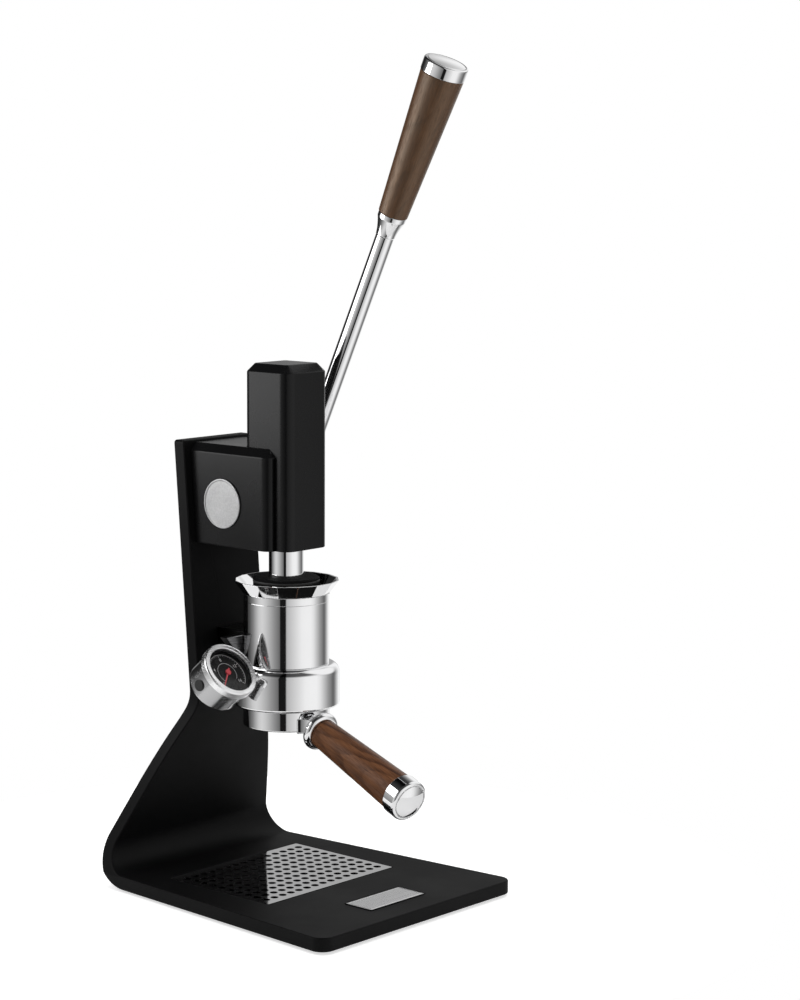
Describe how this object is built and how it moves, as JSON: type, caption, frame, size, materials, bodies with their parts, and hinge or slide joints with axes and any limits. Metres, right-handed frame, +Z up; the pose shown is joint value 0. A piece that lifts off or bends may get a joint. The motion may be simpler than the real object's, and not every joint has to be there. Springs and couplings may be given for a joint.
{
  "type": "manual espresso maker",
  "caption": "Hand-lever espresso maker: a bent plate stand carries a geared press head, a water chamber with a gauge, and a bayonet portafilter above a drip tray.",
  "frame": {"origin": "on the brew axis at table level, under the anti-slip pad", "axes": "+Z up along the brew axis, -Y towards the user, +X towards the lever"},
  "size_m": [0.2442, 0.2964, 0.7204],
  "materials": {
    "powder_black": "fine-textured satin powder coat",
    "chrome": "mirror polished",
    "polished_steel": "polished stainless steel",
    "satin_metal": "brushed satin",
    "bracket_grey": "satin",
    "walnut": "oiled walnut",
    "rubber_black": "matt",
    "bronze": "machined",
    "gear_steel": "machined",
    "black_screw": "black oxide",
    "dial_black": "matt print",
    "needle_red": "matt paint",
    "gauge_glass": "clear"
  },
  "bodies": {
    "stand": {"anti_slip_pad": "rubber_black", "bracket_bolts": "black_screw", "chamber_seal": "rubber_black", "drip_tray": "polished_steel", "frame_plate": "powder_black", "gauge_bezel": "chrome", "gauge_dial": "dial_black", "gauge_housing": "polished_steel", "gauge_lens": "gauge_glass", "gauge_movement": "bronze", "gauge_nipple": "bronze", "gauge_vent_plug": "rubber_black", "group_bracket": "bracket_grey", "group_collar": "chrome", "group_gasket": "rubber_black", "head_block": "powder_black", "head_bolts": "black_screw", "lower_guide_bush": "bronze", "nameplate": "satin_metal", "pivot_badge": "satin_metal", "pour_funnel": "chrome", "shaft_bushes": "bronze", "shower_screen": "polished_steel", "thrust_washer": "gear_steel", "tower_housing": "powder_black", "upper_guide_bush": "bronze", "water_chamber": "chrome"},
    "lever": {"lever_shaft": "gear_steel", "drive_gear": "gear_steel", "drive_keys": "gear_steel", "shaft_circlip": "gear_steel", "lever_hub": "chrome", "hub_washer": "gear_steel", "hub_screw": "black_screw", "lever_rod": "chrome", "lever_ferrule": "chrome", "lever_grip": "walnut", "lever_end_cap": "chrome"},
    "plunger": {"plunger_rod": "chrome", "piston_head": "black_screw", "piston_seals": "rubber_black", "piston_screw": "black_screw"},
    "portafilter": {"portafilter_body": "chrome", "filter_basket": "polished_steel", "basket_spring": "polished_steel", "handle_neck": "chrome", "handle_ferrule": "chrome", "handle_stud": "polished_steel", "handle_grip": "walnut", "handle_end_cap": "chrome"},
    "grate": {"drip_grate": "polished_steel"},
    "needle": {"gauge_needle": "needle_red"}
  },
  "joints": [
    {"name": "lever_swing", "type": "hinge", "parent": "stand", "child": "lever", "pos_m": [0.054, 0.042, 0.34], "axis": [1, 0, 0], "range_deg": [0, 110]},
    {"name": "plunger_slide", "type": "slide", "parent": "stand", "child": "plunger", "axis": [0, 0, -1], "range_m": [0, 0.0596]},
    {"name": "portafilter_twist", "type": "hinge", "parent": "stand", "child": "portafilter", "pos_m": [0, 0, 0.1765], "axis": [0, 0, 1], "range_deg": [-45, 0]},
    {"name": "grate_lift", "type": "slide", "parent": "stand", "child": "grate", "axis": [0, 0, 1], "range_m": [0, 0.04]},
    {"name": "gauge_needle_turn", "type": "hinge", "parent": "stand", "child": "needle", "pos_m": [-0.071, -0.002, 0.2056], "axis": [0, 0.7593, -0.6508], "range_deg": [0, 270], "stiffness_Nm_per_rad": 0.0002, "springref_deg": -20.05}
  ],
  "couplings": [
    {"joint": "plunger_slide", "follows": "lever_swing", "m_per_rad": 0.031}
  ]
}
